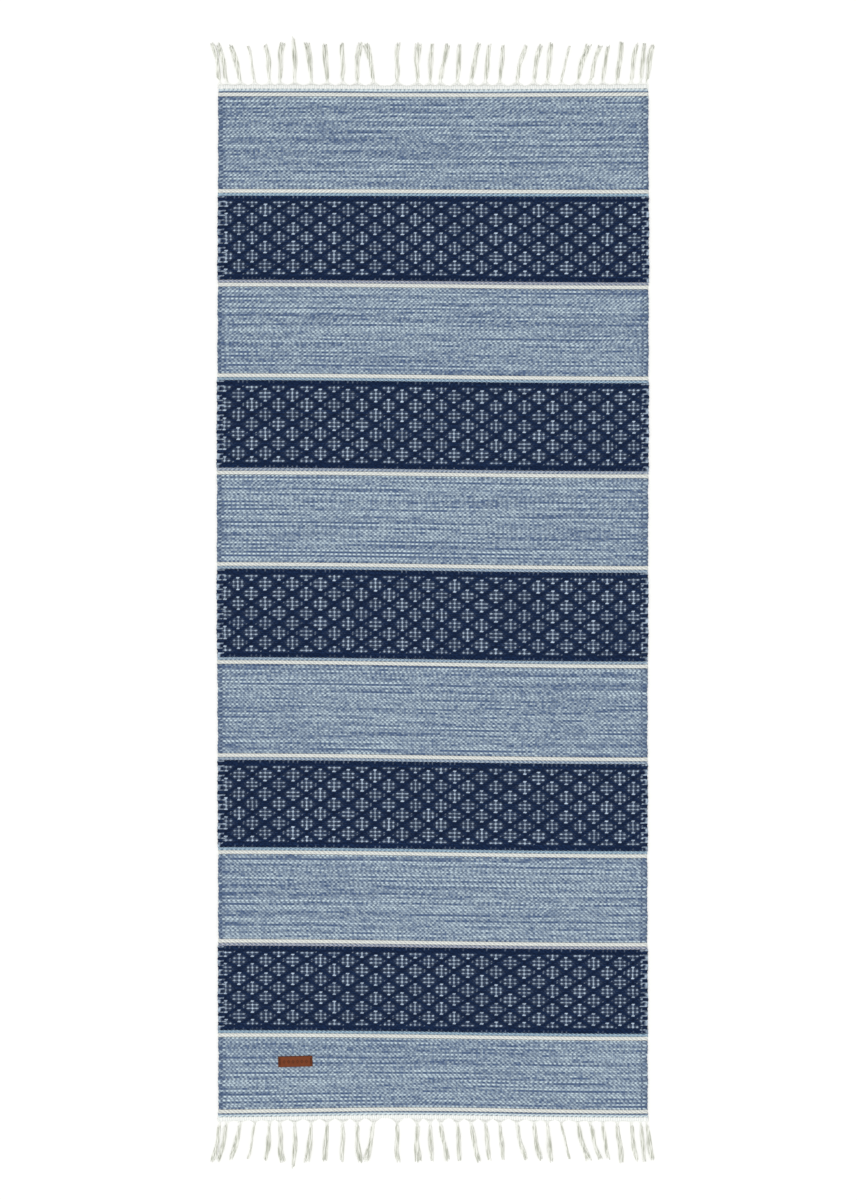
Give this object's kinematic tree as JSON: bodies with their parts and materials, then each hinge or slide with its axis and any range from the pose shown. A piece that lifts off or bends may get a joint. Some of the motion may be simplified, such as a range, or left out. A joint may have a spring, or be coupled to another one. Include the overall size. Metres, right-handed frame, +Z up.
{
  "type": "runner rug",
  "caption": "Long flat-woven cotton rug with cream-edged light blue mélange bands, navy diamond-pattern bands, loose fringes and a small leather label.",
  "frame": {"origin": "middle of the underside, on the surface that the rug lies on", "axes": "+X across the rug, +Y along it to the end away from the label, +Z up out of the walking face"},
  "size_m": [0.619, 1.5836, 0.0069],
  "materials": {
    "ivory_cotton": "twisted cotton yarn, matt",
    "white_cotton": "bleached cotton weft, matt",
    "denim_cotton": "dyed cotton weft, matt",
    "pale_blue_cotton": "dyed cotton weft, matt",
    "melange_cotton": "weft-faced weave of two-tone mélange yarn",
    "navy_cotton": "weft-faced weave with a pale inlaid diamond figure",
    "tan_leather": "smooth vegetable-tanned leather, satin",
    "sewing_thread": "waxed sewing thread"
  },
  "bodies": {
    "root": {"warp_threads": "ivory_cotton", "heading_1": "white_cotton", "heading_2": "white_cotton", "denim_line_1": "denim_cotton", "denim_line_2": "denim_cotton", "cream_stripe_1": "ivory_cotton", "cream_stripe_2": "ivory_cotton", "cream_stripe_3": "ivory_cotton", "cream_stripe_4": "ivory_cotton", "cream_stripe_5": "ivory_cotton", "cream_stripe_6": "ivory_cotton", "cream_stripe_7": "ivory_cotton", "cream_stripe_8": "ivory_cotton", "cream_stripe_9": "ivory_cotton", "cream_stripe_10": "ivory_cotton", "cream_stripe_11": "ivory_cotton", "cream_stripe_12": "ivory_cotton", "pale_line_1": "pale_blue_cotton", "pale_line_2": "pale_blue_cotton", "pale_line_3": "pale_blue_cotton", "pale_line_4": "pale_blue_cotton", "pale_line_5": "pale_blue_cotton", "pale_line_6": "pale_blue_cotton", "pale_line_7": "pale_blue_cotton", "pale_line_8": "pale_blue_cotton", "pale_line_9": "pale_blue_cotton", "pale_line_10": "pale_blue_cotton", "melange_band_1": "melange_cotton", "melange_band_2": "melange_cotton", "melange_band_3": "melange_cotton", "melange_band_4": "melange_cotton", "melange_band_5": "melange_cotton", "melange_band_6": "melange_cotton", "diamond_band_1": "navy_cotton", "diamond_band_2": "navy_cotton", "diamond_band_3": "navy_cotton", "diamond_band_4": "navy_cotton", "diamond_band_5": "navy_cotton", "fringe_far": "ivory_cotton", "fringe_near": "ivory_cotton", "leather_label": "tan_leather", "label_stitch_left": "sewing_thread", "label_stitch_right": "sewing_thread"}
  },
  "joints": []
}
